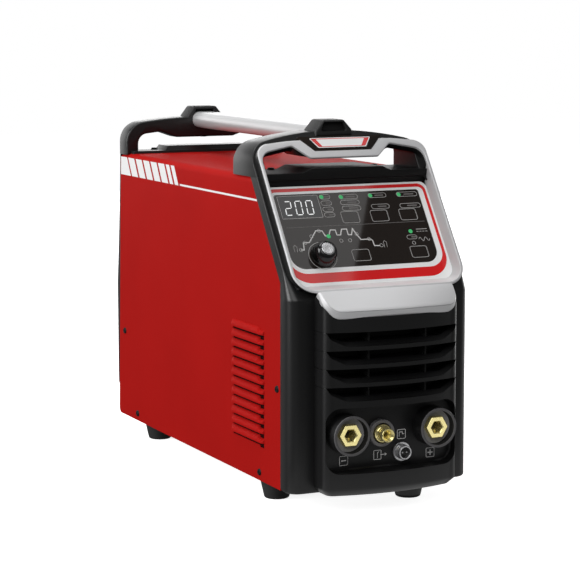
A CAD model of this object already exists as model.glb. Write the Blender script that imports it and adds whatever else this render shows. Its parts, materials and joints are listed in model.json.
import json
import math

import bmesh
import bpy
import numpy as np
from mathutils import Matrix, Vector

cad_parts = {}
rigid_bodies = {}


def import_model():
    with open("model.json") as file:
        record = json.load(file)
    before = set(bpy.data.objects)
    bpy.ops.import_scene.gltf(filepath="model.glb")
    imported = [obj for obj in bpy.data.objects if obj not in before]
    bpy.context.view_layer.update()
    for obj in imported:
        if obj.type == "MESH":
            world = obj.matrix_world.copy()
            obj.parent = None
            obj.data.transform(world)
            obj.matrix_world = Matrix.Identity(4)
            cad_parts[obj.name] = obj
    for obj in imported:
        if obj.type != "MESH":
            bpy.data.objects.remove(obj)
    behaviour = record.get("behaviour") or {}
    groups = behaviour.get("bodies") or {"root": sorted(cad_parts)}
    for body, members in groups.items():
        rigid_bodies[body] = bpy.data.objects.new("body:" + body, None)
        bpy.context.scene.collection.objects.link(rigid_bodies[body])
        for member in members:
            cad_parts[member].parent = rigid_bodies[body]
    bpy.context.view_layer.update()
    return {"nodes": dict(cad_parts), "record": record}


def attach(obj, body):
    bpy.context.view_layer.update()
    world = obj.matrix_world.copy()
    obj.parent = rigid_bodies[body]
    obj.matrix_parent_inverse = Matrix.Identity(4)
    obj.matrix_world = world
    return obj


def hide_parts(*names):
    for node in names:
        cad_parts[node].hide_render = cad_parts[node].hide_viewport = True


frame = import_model()
NODE = frame["nodes"]
MM = 0.001
S35, C35 = math.sin(math.radians(35)), math.cos(math.radians(35))
T35 = math.tan(math.radians(35))
sc = bpy.context.scene
sc.view_settings.view_transform = "Standard"


# ---------------------------------------------------------------- frames
def fas(u, t, d):
    """Point of the leaning fascia: across, up the slope, outwards (mm)."""
    return (u, -260 + S35 * t - C35 * d, 223 + C35 * t + S35 * d)


def fy(z, d):
    return -260 + (z - 223) * T35 - d / C35


FLOOR_Y = -261.0


# ---------------------------------------------------------------- outlines
def round_poly(pts, rad, seg=6):
    """Closed outline with filleted corners. rad is one radius or one for each corner."""
    n = len(pts)
    rad = [rad] * n if not hasattr(rad, "__len__") else rad
    out = []
    for i in range(n):
        p0, p, p1 = (np.array(pts[j % n], float) for j in (i - 1, i, i + 1))
        r = rad[i]
        a, b = p0 - p, p1 - p
        la, lb = np.linalg.norm(a), np.linalg.norm(b)
        a, b = a / la, b / lb
        ang = math.acos(max(-1, min(1, float(a @ b))))
        if r <= 1e-6 or ang > math.pi - 1e-3:
            out.append(p)
            continue
        k = min(r / math.tan(ang / 2), 0.499 * la, 0.499 * lb)
        r = k * math.tan(ang / 2)
        s, e = p + a * k, p + b * k
        c = p + (a + b) / np.linalg.norm(a + b) * (r / math.sin(ang / 2))
        v0, v1 = s - c, e - c
        t0 = math.atan2(v0[1], v0[0])
        dt = math.atan2(v1[1], v1[0]) - t0
        dt = (dt + math.pi) % (2 * math.pi) - math.pi
        for q in range(seg + 1):
            t = t0 + dt * q / seg
            out.append(c + r * np.array([math.cos(t), math.sin(t)]))
    return np.array(out)


def rrect(cx, cy, w, h, r, seg=6):
    x, y = w / 2, h / 2
    return round_poly([(cx - x, cy - y), (cx + x, cy - y), (cx + x, cy + y), (cx - x, cy + y)], r, seg)


def offset(P, d):
    """Moves a counter-clockwise outline inwards by d."""
    P = np.asarray(P, float)
    a = P - np.roll(P, 1, 0)
    b = np.roll(P, -1, 0) - P
    a = a / np.maximum(np.linalg.norm(a, axis=1), 1e-9)[:, None]
    b = b / np.maximum(np.linalg.norm(b, axis=1), 1e-9)[:, None]
    na, nb = np.stack([-a[:, 1], a[:, 0]], 1), np.stack([-b[:, 1], b[:, 0]], 1)
    m = na + nb
    m = m / np.maximum(np.linalg.norm(m, axis=1), 1e-9)[:, None]
    k = np.clip((m * na).sum(1), 0.35, 1)
    return P + m * (d / k)[:, None]


def ccw(P):
    P = np.asarray(P, float)
    x, y = P[:, 0], P[:, 1]
    return P if (x * np.roll(y, -1) - np.roll(x, -1) * y).sum() > 0 else P[::-1].copy()


def circle(r, n=64, cx=0.0, cy=0.0, a0=0.0):
    t = a0 + np.arange(n) * 2 * math.pi / n
    return np.stack([cx + r * np.cos(t), cy + r * np.sin(t)], 1)


# ---------------------------------------------------------------- meshes
def finish_mesh(me, angle=38, weld=2e-6):
    bm = bmesh.new()
    bm.from_mesh(me)
    bmesh.ops.remove_doubles(bm, verts=bm.verts, dist=weld)
    bmesh.ops.recalc_face_normals(bm, faces=bm.faces)
    bm.to_mesh(me)
    bm.free()
    me.shade_smooth()
    me.set_sharp_from_angle(angle=math.radians(angle))


def raw(name, V, F):
    me = bpy.data.meshes.new(name)
    me.from_pydata([(v[0] * MM, v[1] * MM, v[2] * MM) for v in V], [], F)
    ob = bpy.data.objects.new(name, me)
    sc.collection.objects.link(ob)
    return ob


def own(ob, mat, body="case", rep=(), angle=38):
    finish_mesh(ob.data, angle)
    ob.data.materials.clear()
    for m in mat if isinstance(mat, (list, tuple)) else [mat]:
        ob.data.materials.append(m)
    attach(ob, body)
    if rep:
        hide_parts(*rep)
    return ob


def stitch(loops, close=False, cap0=True, cap1=True):
    """Quads between equal closed loops of points, with n-gon caps."""
    n = len(loops[0])
    V, F = [], []
    for L in loops:
        V.extend([tuple(p) for p in L])
    m = len(loops)
    for i in range(m if close else m - 1):
        a, b = i * n, ((i + 1) % m) * n
        for j in range(n):
            k = (j + 1) % n
            F.append((a + j, a + k, b + k, b + j))
    if not close:
        if cap0:
            F.append(tuple(reversed(range(n))))
        if cap1:
            F.append(tuple((m - 1) * n + j for j in range(n)))
    return V, F


def arc_rows(r, seg):
    """Inset and drop of the rows of a rounded edge of radius r."""
    return [(r * (1 - math.cos(a)), r * math.sin(a)) for a in np.linspace(0, math.pi / 2, seg + 1)]


def prism(name, P, place, d0, d1, r0=0.0, r1=0.0, seg=3):
    """Extruded outline whose two rims are rounded. place maps (a, b, d) to a point."""
    P = ccw(P)
    rows = []
    if r0 > 0:
        for ins, up in arc_rows(r0, seg)[::-1]:
            rows.append((r0 - (r0 - ins), d0 + r0 - up))
        rows = [(r0 * (1 - math.cos(a)), d0 + r0 * (1 - math.sin(a))) for a in np.linspace(math.pi / 2, 0, seg + 1)]
    else:
        rows.append((0.0, d0))
    if r1 > 0:
        rows += [(r1 * (1 - math.cos(a)), d1 - r1 * (1 - math.sin(a))) for a in np.linspace(0, math.pi / 2, seg + 1)]
    else:
        rows.append((0.0, d1))
    loops = []
    for ins, d in rows:
        Q = offset(P, ins) if ins > 1e-9 else P
        loops.append([place(a, b, d) for a, b in Q])
    return raw(name, *stitch(loops))


def flat(name, P, place, d):
    """A thin printed shape: an outline 0.03 mm thick whose face is at d."""
    return prism(name, P, place, d - 0.03, d)


def ring(name, P, Q, place, d0, d1):
    """Printed line between two outlines that have equal numbers of points."""
    loops = [[place(a, b, d0) for a, b in P], [place(a, b, d1) for a, b in P], [place(a, b, d1) for a, b in Q], [place(a, b, d0) for a, b in Q]]
    return raw(name, *stitch(loops, close=True))


def stroke(P, w, closed=False):
    """Outline of a line of width w along the points P (mitred), as two edges."""
    P = np.asarray(P, float)
    n = len(P)
    L, R = [], []
    for i in range(n):
        a = P[i] - P[i - 1] if (i > 0 or closed) else P[i + 1] - P[i]
        b = P[(i + 1) % n] - P[i] if (i < n - 1 or closed) else P[i] - P[i - 1]
        a, b = a / np.linalg.norm(a), b / np.linalg.norm(b)
        na, nb = np.array([-a[1], a[0]]), np.array([-b[1], b[0]])
        m = na + nb
        m = m / max(np.linalg.norm(m), 1e-9)
        k = max(0.4, float(m @ na))
        L.append(P[i] + m * (w / 2 / k))
        R.append(P[i] - m * (w / 2 / k))
    return np.array(L), np.array(R)


def line(name, P, w, place, d, closed=False):
    L, R = stroke(P, w, closed)
    if closed:
        return ring(name, L, R, place, d - 0.03, d)
    return flat(name, np.concatenate([L, R[::-1]]), place, d)


def join(name, obs):
    """One object of several, with one material slot for each material used."""
    V, F, mats, idx = [], [], [], []
    for o in obs:
        k = len(V)
        V.extend([tuple(o.matrix_world @ v.co) for v in o.data.vertices])
        table = []
        for m in o.data.materials:
            if m not in mats:
                mats.append(m)
            table.append(mats.index(m))
        for p in o.data.polygons:
            F.append(tuple(i + k for i in p.vertices))
            idx.append(table[p.material_index] if table else 0)
    me = bpy.data.meshes.new(name)
    me.from_pydata(V, [], F)
    for m in mats:
        me.materials.append(m)
    if mats:
        me.polygons.foreach_set("material_index", idx)
    for o in obs:
        d = o.data
        bpy.data.objects.remove(o)
        bpy.data.meshes.remove(d)
    ob = bpy.data.objects.new(name, me)
    sc.collection.objects.link(ob)
    return ob


def bake(ob):
    bpy.context.view_layer.update()
    dg = bpy.context.evaluated_depsgraph_get()
    me = bpy.data.meshes.new_from_object(ob.evaluated_get(dg))
    old = ob.data
    ob.modifiers.clear()
    ob.data = me
    bpy.data.meshes.remove(old)
    return ob


def fix_normals(ob):
    bm = bmesh.new()
    bm.from_mesh(ob.data)
    bmesh.ops.remove_doubles(bm, verts=bm.verts, dist=1e-6)
    bmesh.ops.recalc_face_normals(bm, faces=bm.faces)
    bm.to_mesh(ob.data)
    bm.free()


def boolean(ob, cutters, op="DIFFERENCE"):
    fix_normals(ob)
    for c in cutters:
        fix_normals(c)
        m = ob.modifiers.new("cut", "BOOLEAN")
        m.operation = op
        m.object = c
        m.solver = "EXACT"
    bake(ob)
    for c in cutters:
        d = c.data
        bpy.data.objects.remove(c)
        bpy.data.meshes.remove(d)
    return ob


def tidy(ob, angle=0.5):
    """Merges faces that lie in one plane, so that bevels run cleanly."""
    bm = bmesh.new()
    bm.from_mesh(ob.data)
    bmesh.ops.remove_doubles(bm, verts=bm.verts, dist=5e-6)
    bmesh.ops.dissolve_limit(bm, angle_limit=math.radians(angle), verts=bm.verts, edges=bm.edges)
    bm.to_mesh(ob.data)
    bm.free()
    return ob


def bevel(ob, w, seg=2, angle=30):
    m = ob.modifiers.new("edge", "BEVEL")
    m.width = w * MM
    m.segments = seg
    m.limit_method = "ANGLE"
    m.angle_limit = math.radians(angle)
    m.miter_outer = "MITER_ARC"
    m.use_clamp_overlap = True
    return bake(ob)


def box(name, lo, hi):
    x0, y0, z0 = lo
    x1, y1, z1 = hi
    V = [(x0, y0, z0), (x1, y0, z0), (x1, y1, z0), (x0, y1, z0), (x0, y0, z1), (x1, y0, z1), (x1, y1, z1), (x0, y1, z1)]
    F = [(3, 2, 1, 0), (4, 5, 6, 7), (0, 1, 5, 4), (1, 2, 6, 5), (2, 3, 7, 6), (3, 0, 4, 7)]
    return raw(name, V, F)


def lathe(name, prof, place, n=72):
    """Turned piece: prof is (radius, height) from one end of the axis to the other."""
    loops = [[place(r * math.cos(t), r * math.sin(t), h) for t in np.arange(n) * 2 * math.pi / n] for r, h in prof if r > 1e-6]
    V, F = stitch(loops, cap0=prof[0][0] < 1e-6 or False, cap1=prof[-1][0] < 1e-6 or False)
    return raw(name, V, F)


def tube(name, prof, place, n=72):
    """Turned ring: prof is a closed section of (radius, height)."""
    loops = [[place(r * math.cos(t), r * math.sin(t), h) for t in np.arange(n) * 2 * math.pi / n] for r, h in prof]
    return raw(name, *stitch(loops, close=True))


def soft_profile(pts, r, seg=3):
    return [tuple(p) for p in round_poly(pts, r, seg)]


def at_front(p):
    """(a, b, d): a across, b up, d out of the socket floor towards the viewer."""
    return lambda a, b, d: (p[0] + a, FLOOR_Y - d, p[1] + b)


def at_rear(p, y=224.0):
    return lambda a, b, d: (p[0] - a, y + d, p[1] + b)


def xz(a, b, d):
    return (a, d, b)


def yz(a, b, d):
    return (d, a, b)


def xy(a, b, d):
    return (a, b, d)


# ---------------------------------------------------------------- materials
def material(name, base, rough, metallic=0.0, grain=600.0, bump=0.0, vary=0.06, rvary=0.06, coat=0.0, coat_rough=0.1, spec=0.5, stretch=None, emission=None, detail=3.0, wear=0.0, wear_color=(0.5, 0.5, 0.5), bdist=0.00005, matte=0.0):
    m = bpy.data.materials.new(name)
    m.use_nodes = True
    nt = m.node_tree
    b = nt.nodes["Principled BSDF"]
    b.inputs["Metallic"].default_value = metallic
    b.inputs["Specular IOR Level"].default_value = spec
    b.inputs["Coat Weight"].default_value = coat
    b.inputs["Coat Roughness"].default_value = coat_rough
    tc = nt.nodes.new("ShaderNodeTexCoord")
    mp = nt.nodes.new("ShaderNodeMapping")
    nt.links.new(tc.outputs["Object"], mp.inputs["Vector"])
    if stretch:
        mp.inputs["Scale"].default_value = stretch
    big = nt.nodes.new("ShaderNodeTexNoise")
    big.inputs["Scale"].default_value = 9.0
    big.inputs["Detail"].default_value = detail
    nt.links.new(mp.outputs["Vector"], big.inputs["Vector"])
    fine = nt.nodes.new("ShaderNodeTexNoise")
    fine.inputs["Scale"].default_value = grain
    fine.inputs["Detail"].default_value = 2.0
    nt.links.new(mp.outputs["Vector"], fine.inputs["Vector"])
    ramp = nt.nodes.new("ShaderNodeValToRGB")
    ramp.color_ramp.elements[0].position = 0.3
    ramp.color_ramp.elements[1].position = 0.7
    lo = [max(0.0, c * (1 - vary)) for c in base]
    hi = [min(1.0, c * (1 + vary)) for c in base]
    ramp.color_ramp.elements[0].color = (*lo, 1)
    ramp.color_ramp.elements[1].color = (*hi, 1)
    nt.links.new(big.outputs["Fac"], ramp.inputs["Fac"])
    nt.links.new(ramp.outputs["Color"], b.inputs["Base Color"])
    rr = nt.nodes.new("ShaderNodeMapRange")
    rr.inputs["From Min"].default_value = 0.3
    rr.inputs["From Max"].default_value = 0.7
    rr.inputs["To Min"].default_value = max(0.02, rough - rvary)
    rr.inputs["To Max"].default_value = min(1.0, rough + rvary)
    nt.links.new(fine.outputs["Fac"], rr.inputs["Value"])
    nt.links.new(rr.outputs["Result"], b.inputs["Roughness"])
    if bump > 0:
        bp = nt.nodes.new("ShaderNodeBump")
        bp.inputs["Strength"].default_value = bump
        bp.inputs["Distance"].default_value = bdist
        nt.links.new(fine.outputs["Fac"], bp.inputs["Height"])
        nt.links.new(bp.outputs["Normal"], b.inputs["Normal"])
    if matte > 0:
        df = nt.nodes.new("ShaderNodeBsdfDiffuse")
        mx = nt.nodes.new("ShaderNodeMixShader")
        mx.inputs["Fac"].default_value = matte
        nt.links.new(ramp.outputs["Color"], df.inputs["Color"])
        nt.links.new(b.outputs["BSDF"], mx.inputs[1])
        nt.links.new(df.outputs["BSDF"], mx.inputs[2])
        nt.links.new(mx.outputs["Shader"], nt.nodes["Material Output"].inputs["Surface"])
    if emission:
        b.inputs["Emission Color"].default_value = (*emission[0], 1)
        b.inputs["Emission Strength"].default_value = emission[1]
    return m


M = {
    "red": material("red_powder_coat", (0.350, 0.0075, 0.0062), 0.45, grain=900, bump=0.10, vary=0.04, spec=0.07, matte=0.7),
    "black": material("black_moulded", (0.0066, 0.0066, 0.0069), 0.35, grain=1500, bump=0.25, vary=0.10, rvary=0.05),
    "black_soft": material("black_cap", (0.013, 0.013, 0.0134), 0.50, grain=1500, bump=0.25, vary=0.10),
    "black_shelf": material("black_shelf", (0.0075, 0.0075, 0.0078), 0.46, grain=1500, bump=0.25, vary=0.10, matte=0.45),
    "deep": material("black_inside", (0.004, 0.004, 0.004), 0.75, grain=800, vary=0.2),
    "grey": material("grey_moulded", (0.098, 0.095, 0.098), 0.52, grain=1500, bump=0.25, vary=0.08),
    "grey_floor": material("grey_floor", (0.34, 0.335, 0.34), 0.6, grain=1500, bump=0.2, vary=0.08),
    "grey_seat": material("grey_seat", (0.17, 0.165, 0.17), 0.55, grain=1500, bump=0.2, vary=0.08),
    "silver": material("silver_lacquer", (0.77, 0.77, 0.78), 0.48, metallic=0.22, spec=0.32, grain=2200, bump=0.08, vary=0.02, rvary=0.05),
    "film": material("film_black", (0.0150, 0.0104, 0.0080), 0.03, grain=1200, vary=0.06, rvary=0.006),
    "film_white": material("film_white", (0.96, 0.96, 0.96), 0.06, grain=1200, vary=0.02, rvary=0.015),
    "film_red": material("film_red", (0.76, 0.013, 0.015), 0.06, grain=1200, vary=0.04, rvary=0.015),
    "print": material("print_grey", (0.50, 0.49, 0.48), 0.40, grain=1500, vary=0.05, rvary=0.05),
    "print_dim": material("print_dim", (0.20, 0.19, 0.185), 0.40, grain=1500, vary=0.08, rvary=0.05),
    "white_print": material("print_white", (0.76, 0.76, 0.76), 0.42, grain=1500, vary=0.02, rvary=0.05),
    "mark": material("print_mark", (0.80, 0.79, 0.78), 0.45, grain=1500, vary=0.04, rvary=0.05),
    "led_green": material("led_green", (0.05, 0.42, 0.14), 0.30, grain=1200, vary=0.10, emission=((0.05, 0.50, 0.16), 0.35)),
    "digits": material("digits_lit", (0.85, 0.86, 0.86), 0.40, grain=1200, vary=0.03, emission=((0.9, 0.92, 0.92), 0.55)),
    "knob": material("knob_black", (0.003, 0.003, 0.003), 0.12, grain=1500, bump=0.03, vary=0.15, rvary=0.05, coat=0.2, coat_rough=0.1),
    "alu_cap": material("turned_aluminium", (0.66, 0.66, 0.67), 0.22, metallic=0.9, grain=900, bump=0.05, vary=0.04),
    "window": material("smoked_window", (0.012, 0.012, 0.013), 0.10, grain=900, vary=0.1, rvary=0.03, coat=0.3, coat_rough=0.05),
    "brass": material("brass_turned", (0.86, 0.75, 0.34), 0.24, metallic=0.8, grain=1200, bump=0.06, vary=0.08, rvary=0.06),
    "slit_dark": material("slit_dark", (0.0075, 0.0007, 0.0007), 0.9, spec=0.08, grain=1500, vary=0.05),
    "plug_steel": material("plug_steel", (0.42, 0.42, 0.43), 0.34, metallic=0.9, grain=1800, bump=0.05, vary=0.03, rvary=0.04),
    "steel": material("zinc_plate", (0.66, 0.66, 0.67), 0.25, metallic=1.0, grain=900, bump=0.06, vary=0.06, rvary=0.08),
    "black_steel": material("black_screw", (0.005, 0.005, 0.0055), 0.50, spec=0.25, grain=900, bump=0.10, vary=0.15, rvary=0.08),
    "alu": material("satin_aluminium", (0.60, 0.60, 0.605), 0.36, metallic=0.55, grain=700, bump=0.05, vary=0.03, rvary=0.06, stretch=(1, 0.03, 1)),
    "rubber": material("rubber_feet", (0.020, 0.020, 0.020), 0.70, grain=900, bump=0.35, vary=0.15, rvary=0.08),
    "board": material("circuit_board", (0.015, 0.10, 0.045), 0.40, grain=900, vary=0.15),
    "copper": material("varnished_copper", (0.50, 0.22, 0.10), 0.35, metallic=0.6, grain=900, vary=0.12),
    "ferrite": material("ferrite", (0.045, 0.045, 0.048), 0.6, grain=900, bump=0.2, vary=0.12),
    "rocker": material("rocker_red", (0.30, 0.010, 0.010), 0.25, grain=1200, bump=0.05, vary=0.05),
}
def shade(m, source, lo, hi, k0, k1):
    """Scales the base colour of m along X of the object or of the surface normal."""
    nt = m.node_tree
    b = nt.nodes["Principled BSDF"]
    src = b.inputs["Base Color"].links[0].from_socket
    g = nt.nodes.new("ShaderNodeTexCoord")
    sep = nt.nodes.new("ShaderNodeSeparateXYZ")
    mr = nt.nodes.new("ShaderNodeMapRange")
    sc_ = nt.nodes.new("ShaderNodeVectorMath")
    sc_.operation = "SCALE"
    mr.inputs["From Min"].default_value, mr.inputs["From Max"].default_value = lo, hi
    mr.inputs["To Min"].default_value, mr.inputs["To Max"].default_value = k0, k1
    nt.links.new(g.outputs[source], sep.inputs["Vector"])
    nt.links.new(sep.outputs["X"], mr.inputs["Value"])
    nt.links.new(src, sc_.inputs[0])
    nt.links.new(mr.outputs["Result"], sc_.inputs["Scale"])
    nt.links.new(sc_.outputs["Vector"], b.inputs["Base Color"])


shade(M["silver"], "Object", 0.0, 0.1, 1.0, 0.82)
shade(M["silver"], "Normal", -0.75, -0.2, 0.72, 1.0)
SLOT_MAT = {
    "red_paint": "red", "black_plastic": "black", "grey_plastic": "grey", "silver_paint": "silver", "panel_film": "film", "button_plastic": "film", "knob_plastic": "knob",
    "knob_metal": "alu_cap", "smoked_window": "window", "brass": "brass", "plated_steel": "steel", "black_steel": "black_steel", "aluminium": "alu", "rubber": "rubber",
    "circuit_board": "board", "copper": "copper", "ferrite": "ferrite", "red_plastic": "rocker",
}
for row in frame["record"]["subparts"]:
    ob = NODE[row["node"]]
    ob.data.materials.clear()
    ob.data.materials.append(M[SLOT_MAT[row["material_slot"]]])


# ---------------------------------------------------------------- cover
def seam_y(z):
    return -221.0 if z <= 238 else -221 + (z - 238) * T35


def rear_y(z):
    y = 242 + (z - 23) * (-14 / 319.5)
    return y if z >= 30 else y - 7 + math.sqrt(max(0.0, 49 - (30 - z) ** 2))


def cover_profile(half, top, r, bottom=23.0):
    P = [(-half, z) for z in (bottom, 23.25, 23.9, 25.0, 26.5, 28.2, 30, 120, 237.9, 238, 300)]
    for a in np.linspace(180, 90, 9):
        P.append((-half + r + r * math.cos(math.radians(a)), top - r + r * math.sin(math.radians(a))))
    Q = [(-x, z) for x, z in reversed(P)]
    return P + Q


LV_Y0, LV_Y1, LV_Z, LV_P, LV_N = -182.0, -100.5, 176.6, 10.40, 12


def build_cover():
    O = cover_profile(102.5, 342.5, 8.0)
    I = cover_profile(101.3, 341.3, 6.8)
    loops = []
    for (xo, zo), (xi, zi) in zip(O, I):
        loops.append([(xo, seam_y(zo), zo), (xo, rear_y(zo), zo), (xi, rear_y(zi), zi), (xi, seam_y(zi), zi)])
    ob = raw("cover_sheet", *stitch(loops))
    cut, notch = [], []
    for s in (-1, 1):
        for k in range(LV_N):
            z = LV_Z - k * LV_P
            x0, x1 = sorted((s * 101.55, s * 106.0))
            cut.append(box("c", (x0, LV_Y0 + 2.5, z - 1.0), (x1, LV_Y1 - 3, z + 6.6)))
            x0, x1 = sorted((s * 101.7, s * 106.5))
            notch.append(box("c", (x0, LV_Y0 + 0.6, z - 3.1), (x1, LV_Y0 + 10.0, z + 1.5)))
    boolean(ob, [join("cc", cut)])
    boolean(ob, [join("cn", notch)])
    own(ob, M["red"], rep=["outer_cover"], angle=30)
    # the opening of each louvre reads as the dark inside of the case
    ob.data.materials.append(M["slit_dark"])
    for q in ob.data.polygons:
        if 0.1015 < abs(q.center.x) < 0.10175 and abs(q.normal.x) > 0.9:
            q.material_index = 1


def build_louvres():
    """Pressed hoods, open at the lower edge, with rounded closed ends."""
    hoods = []
    nu, nv = 30, 8
    for s in (-1, 1):
        for k in range(LV_N):
            z0 = LV_Z - k * LV_P
            ys = np.concatenate([LV_Y0 + 6.5 * (1 - np.cos(np.linspace(0, math.pi / 2, 12))), np.linspace(LV_Y0 + 7.5, LV_Y0 + 13, 7), np.linspace(LV_Y0 + 18, LV_Y1 - 12, 5), np.linspace(LV_Y1 - 9, LV_Y1, 8)])
            out, inn = [], []
            for v in np.linspace(0, 1, nv + 1):
                ro, ri = [], []
                for y in ys:
                    e = min((y - LV_Y0) / 6.5, (LV_Y1 - y) / 9.0)
                    e = math.sqrt(max(0.0, 1 - (1 - min(1.0, e)) ** 2))
                    h = 3.6 * e * math.sin(min(1.0, v * 1.25) * math.pi / 2) ** 0.85
                    g = min(1.0, max(0.0, (LV_Y0 + 12.5 - y) / 4.0))
                    g = 2.5 * g * g * (3 - 2 * g)
                    z = z0 + 9.5 - g - (7.0 - g + 0.6 * (1 - e)) * v
                    ro.append((s * (102.5 + h), y, z))
                    ri.append((s * (102.5 + h - 0.9 - 0.25 * (1 - v)), y, z - (0.0 if v < 1 else 0.0)))
                out.append(ro)
                inn.append(ri)
            n = len(ys)
            loops = []
            for j in range(n):
                loops.append([out[i][j] for i in range(nv + 1)] + [inn[i][j] for i in range(nv, -1, -1)])
            hoods.append(raw("h", *stitch(loops)))
    own(join("cover_louvres", hoods), M["red"], angle=50)


def build_stripes():
    """White slanted bars and a thin line below the top edge of each side."""
    parts = []
    z0, z1, shear = 316.8, 338.1, 12.6
    bars = [(227.2, 207.5), (203.6, 184.0), (179.0, 160.0), (155.2, 136.7), (132.0, 113.4), (108.8, 89.8), (85.2, 75.0), (70.2, 59.8)]
    for s in (-1, 1):
        place = (lambda a, b, d, s=s: (s * (102.5 + d), a, b))
        for ya, yb in bars:
            P = [(ya - shear, z0), (yb - shear, z0), (yb, z1), (ya, z1)]
            if ya > 220:
                P = [(rear_y(z0) - 1.2, z0), (yb - shear, z0), (yb, z1), (rear_y(z1) - 1.2, z1)]
            parts.append(flat("s", P, place, 0.06))
        e = seam_y(318) + 0.4
        parts.append(flat("s", [(43.2, 316.8), (43.2, 318.9), (e, 318.9), (e, 316.8)], place, 0.06))
    own(join("cover_stripes", parts), M["white_print"], angle=30)


build_cover()
build_louvres()
build_stripes()


# ---------------------------------------------------------------- front bezel
def fillet(p0, p, p1, r, seg=8):
    """Arc that rounds the corner p between p0 and p1."""
    return round_poly([p0, p, p1], [0, r, 0], seg)[1:-1]


def build_bezel():
    # shell: sides and front wall, lofted upwards
    def loop(z, ins=0.0):
        yf = max(-248.0, fy(z, -10)) + ins
        ys = seam_y(z) + 0.05
        k = min(1.0, max(0.0, (250 - z) / 28.0))
        r = 1.0 + 11.0 * k
        c = 1.6 * k
        h = 102.5 - ins
        hi, ri = 98.5 - ins, max(1.0, r - 3)
        n = 9
        out = [(-h - c * (1 - (1 - q) ** 2), ys + (yf + r - ys) * q) for q in np.linspace(0, 1, 7)[:-1]]
        out += [(-h - c + r - r * math.cos(a), yf + r - r * math.sin(a)) for a in np.linspace(0, math.pi / 2, n)]
        out += [(-x, y) for x, y in reversed(out)]
        inn = [(-hi, ys + (yf + r - ys) * q) for q in np.linspace(0, 1, 7)[:-1]] + [(-hi + ri - ri * math.cos(a), yf + 4 + ri - ri * math.sin(a)) for a in np.linspace(0, math.pi / 2, n)]
        inn += [(-x, y) for x, y in reversed(inn)]
        inn = [(x, min(y, ys)) for x, y in inn]
        return [(x, y, z) for x, y in out + inn[::-1]]
    zs = [26.5, 60, 120, 180, 208, 214, 218, 221, 222.7, 224, 226, 229, 233, 237.9, 238.1, 243, 248, 252, 256, 275, 300, 320, 338, 341.0]
    loops = [loop(23.0, 2.4), loop(23.3, 1.4), loop(24.0, 0.6), loop(25.0, 0.15)] + [loop(z) for z in zs]
    ob = raw("bezel_shell", *stitch(loops))
    cut = [box("c", (-70, -262, 27), (70, -238, 205)),
           prism("c", rrect(0, 83.2, 191.6, 132.8, 10), fas, -26, -8)]
    boolean(ob, cut)
    own(ob, M["black"], rep=["front_bezel"], angle=32)

    # shelf with the brow and its raised middle
    side = [(-157, 330.6), (-163.2, 330.6), (-164.6, 336.4), (-168.4, 337.6), (-169.9, 344.5), (-103.5, 344.5), (-103.5, 341.8), (-150, 341.8)]
    brow = prism("bezel_brow", [(y, z) for y, z in side], yz, -96.4, 96.4)
    up = raw("up", *stitch([
        [(-52, -168.5, 341.0), (52, -168.5, 341.0), (52, -104, 341.0), (-52, -104, 341.0)],
        [(-52, -169.9, 344.4), (52, -169.9, 344.4), (52, -104, 344.4), (-52, -104, 344.4)],
        [(-41.5, -171.2, 349.0), (41.5, -171.2, 349.0), (41.5, -104, 349.0), (-41.5, -104, 349.0)]]))
    boolean(brow, [up], "UNION")
    tidy(brow)
    bevel(brow, 1.1, 3, 25)
    own(brow, M["black_shelf"], angle=30)

    # hoop
    P = ccw(np.array(hoop_outer(102.5, 386.0, 341.0, 24.0, 380.0) + hoop_inner(90.0, 372.3, 341.0, 12.0, 12.5, 40.0)))
    hoop_mesh("bezel_hoop", P, lambda z: fy(z, -10), -103.0, 0.8, 2.2)


def hoop_mesh(name, P, front, back, rf, rb):
    """Outline in (x, z) between a front surface and a back plane, with rounded rims."""
    loops = []
    for a in np.linspace(math.pi / 2, 0, 5):
        Q = offset(P, rf * (1 - math.cos(a))) if a > 1e-6 else P
        loops.append([(x, front(z) + rf * (1 - math.sin(a)), z) for x, z in Q])
    for a in np.linspace(0, math.pi / 2, 5):
        Q = offset(P, rb * (1 - math.cos(a))) if a > 1e-6 else P
        loops.append([(x, back - rb * (1 - math.sin(a)), z) for x, z in Q])
    return own(raw(name, *stitch(loops)), M["black"], angle=40)


def hoop_outer(half, top, base, r, R):
    """Outer line of a hoop from its right foot over the top to its left foot."""
    cz = top - R
    # fillet circle that touches the vertical side and the arch from inside
    xc = half - r
    zc = cz + math.sqrt((R - r) ** 2 - xc * xc)
    a1 = math.atan2(zc - cz, xc)
    pts = [(half, base), (half, base + (zc - base) * 0.5)]
    pts += [(xc + r * math.cos(a), zc + r * math.sin(a)) for a in np.linspace(0, a1, 14)]
    pts += [(R * math.cos(a), cz + R * math.sin(a)) for a in np.linspace(a1, math.pi / 2, 12)[1:]]
    left = [(-x, z) for x, z in reversed(pts[:-1])]
    return pts + left


def hoop_inner(half, top, base, r, drop, xd):
    pts = round_poly([(-half, base), (-half, top - 3), (-58, top), (-xd, top - drop), (xd, top - drop), (58, top), (half, top - 3), (half, base)], [0, r, 6, 6, 6, 6, r, 0], 7)
    return [tuple(p) for p in pts]


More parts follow.
